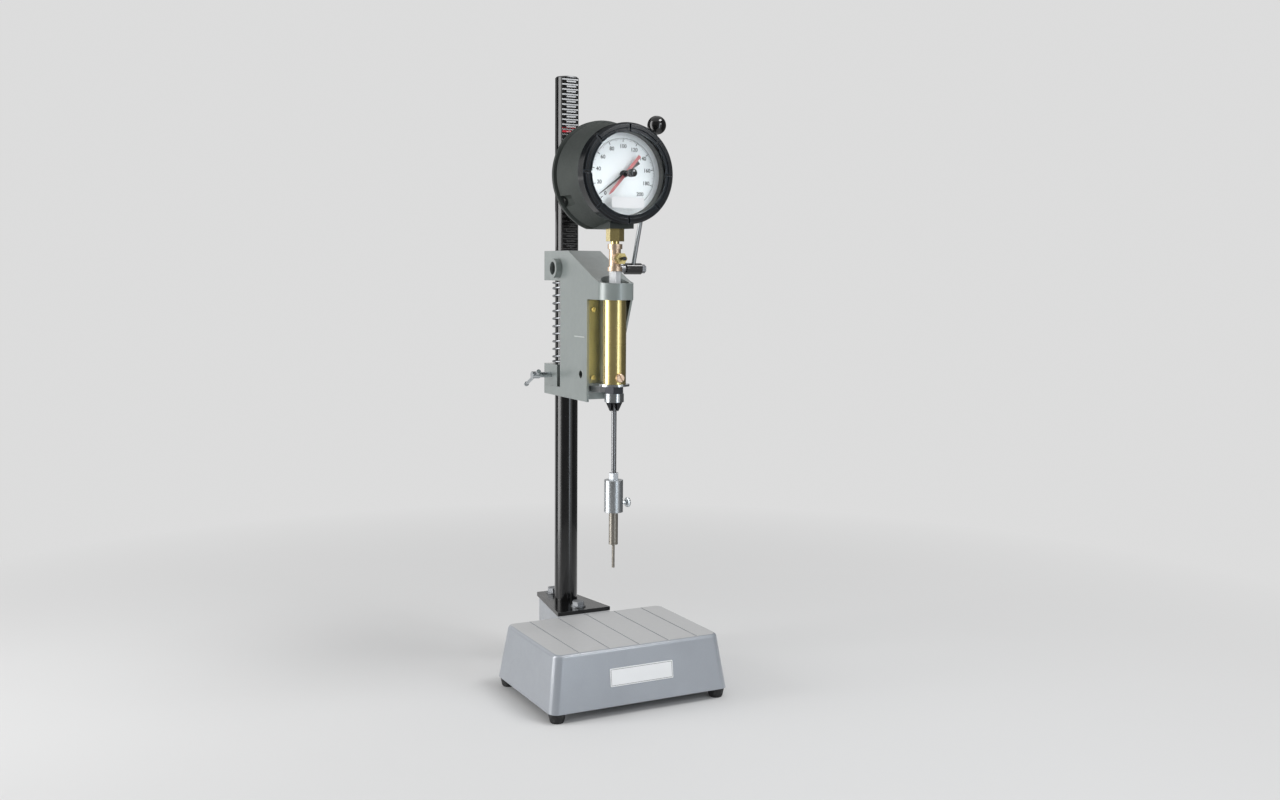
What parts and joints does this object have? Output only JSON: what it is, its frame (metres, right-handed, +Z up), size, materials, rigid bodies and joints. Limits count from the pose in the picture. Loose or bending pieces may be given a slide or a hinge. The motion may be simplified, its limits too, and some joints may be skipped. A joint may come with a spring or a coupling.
{
  "type": "soil penetrometer",
  "caption": "Bench penetrometer: a cast base and rack column carry a lever-driven head with a hydraulic cylinder, a round load gauge above and a needle in a chuck below.",
  "frame": {"origin": "on the standing surface, in the middle of the outline", "axes": "+Z up along the column, -Y towards the front of the base, +X towards the lever"},
  "size_m": [0.3, 0.352, 0.97],
  "materials": {
    "base_paint": "silver-grey paint, semi-gloss",
    "rubber": "black, matt",
    "bright_steel": "bright plated",
    "dark_steel": "blackened",
    "needle_steel": "ground",
    "label_metal": "white, bare",
    "black_paint": "black, glossy",
    "head_paint": "grey paint, semi-gloss",
    "bronze": "machined",
    "brass": "polished",
    "copper": "plain",
    "black_knob": "polished",
    "case_plastic": "moulded",
    "bezel_plastic": "moulded",
    "lens_glass": "clear",
    "dial_white": "white, printed scale",
    "pointer_black": "matt black",
    "pointer_red": "red paint"
  },
  "bodies": {
    "base": {"base_casting": "base_paint", "rubber_feet": "rubber", "foot_screws": "bright_steel", "label_plate": "label_metal", "foot_plate": "black_paint", "foot_plate_bolts": "bright_steel", "foot_plate_washers": "bright_steel", "column": "black_paint", "column_screw": "dark_steel"},
    "collar": {"clamp_collar": "head_paint", "return_spring": "bright_steel"},
    "clamp": {"clamp_screw": "bright_steel", "clamp_bar": "bright_steel"},
    "head": {"head_casting": "head_paint", "upper_guide_bush": "bronze", "lower_guide_bush": "bronze", "cylinder_block": "brass", "block_screws": "brass", "cylinder_barrel": "brass", "bleed_plug": "copper", "bottom_flange": "bright_steel", "gland_nut": "dark_steel", "lock_ring": "bright_steel", "rod_cone": "dark_steel", "pocket_bolt": "bright_steel", "port_nut": "bright_steel", "tee": "brass", "tee_plug": "brass", "bleed_screw": "dark_steel", "gauge_socket": "brass", "gauge_case": "case_plastic", "case_back": "case_plastic", "bourdon_tube": "brass", "gauge_movement": "brass", "dial": "dial_white", "bezel_gasket": "rubber", "lens": "lens_glass", "bezel_ring": "bezel_plastic"},
    "bushes": {"shaft_bushes": "bronze"},
    "lever": {"pinion_shaft": "bright_steel", "pinion": "dark_steel", "shaft_collar": "dark_steel", "lever_hub": "black_paint", "hub_end_screw": "bright_steel", "lever_rod": "bright_steel", "ball_knob": "black_knob"},
    "ram": {"piston": "bright_steel", "piston_seal": "rubber", "piston_rod": "bright_steel", "jam_nut": "bright_steel", "chuck": "bright_steel", "needle": "needle_steel"},
    "thumb": {"thumbscrew": "bright_steel"},
    "hand": {"pointer": "pointer_black"},
    "peak_hand": {"max_pointer": "pointer_red", "reset_knob": "black_knob"}
  },
  "joints": [
    {"name": "height_setting", "type": "slide", "parent": "base", "child": "collar", "axis": [0, 0, 1], "range_m": [-0.06, 0.2]},
    {"name": "clamp_turn", "type": "hinge", "parent": "collar", "child": "clamp", "pos_m": [-0.0555, 0.108, 0.4876], "axis": [1, 0, 0], "range_deg": [0, 270]},
    {"name": "head_stroke", "type": "slide", "parent": "collar", "child": "head", "axis": [0, 0, -1], "range_m": [0, 0.032], "stiffness_N_per_m": 1500, "springref_m": -0.1, "deforming": ["return_spring"]},
    {"name": "bush_turn", "type": "hinge", "parent": "head", "child": "bushes", "pos_m": [0, 0.07726, 0.66198], "axis": [1, 0, 0], "range_deg": [-752.5, 226]},
    {"name": "lever_turn", "type": "hinge", "parent": "bushes", "child": "lever", "pos_m": [0, 0.07726, 0.66198], "axis": [1, 0, 0], "range_deg": [0, 120.5]},
    {"name": "ram_slide", "type": "slide", "parent": "head", "child": "ram", "axis": [0, 0, 1], "range_m": [0, 0.003]},
    {"name": "thumbscrew_turn", "type": "hinge", "parent": "ram", "child": "thumb", "pos_m": [0.0216, -0.071, 0.2996], "axis": [1, 0, 0], "range_deg": [0, 360]},
    {"name": "hand_turn", "type": "hinge", "parent": "head", "child": "hand", "pos_m": [0, -0.098, 0.8026], "axis": [0, 1, 0], "range_deg": [0, 262.5]},
    {"name": "peak_hand_turn", "type": "hinge", "parent": "head", "child": "peak_hand", "pos_m": [0, -0.107, 0.8026], "axis": [0, 1, 0], "range_deg": [0, 262]}
  ],
  "couplings": [
    {"joint": "bush_turn", "follows": "height_setting", "rad_per_m": -65.614},
    {"joint": "lever_turn", "follows": "head_stroke", "rad_per_m": 65.614},
    {"joint": "hand_turn", "follows": "ram_slide", "rad_per_m": 1524.3}
  ]
}
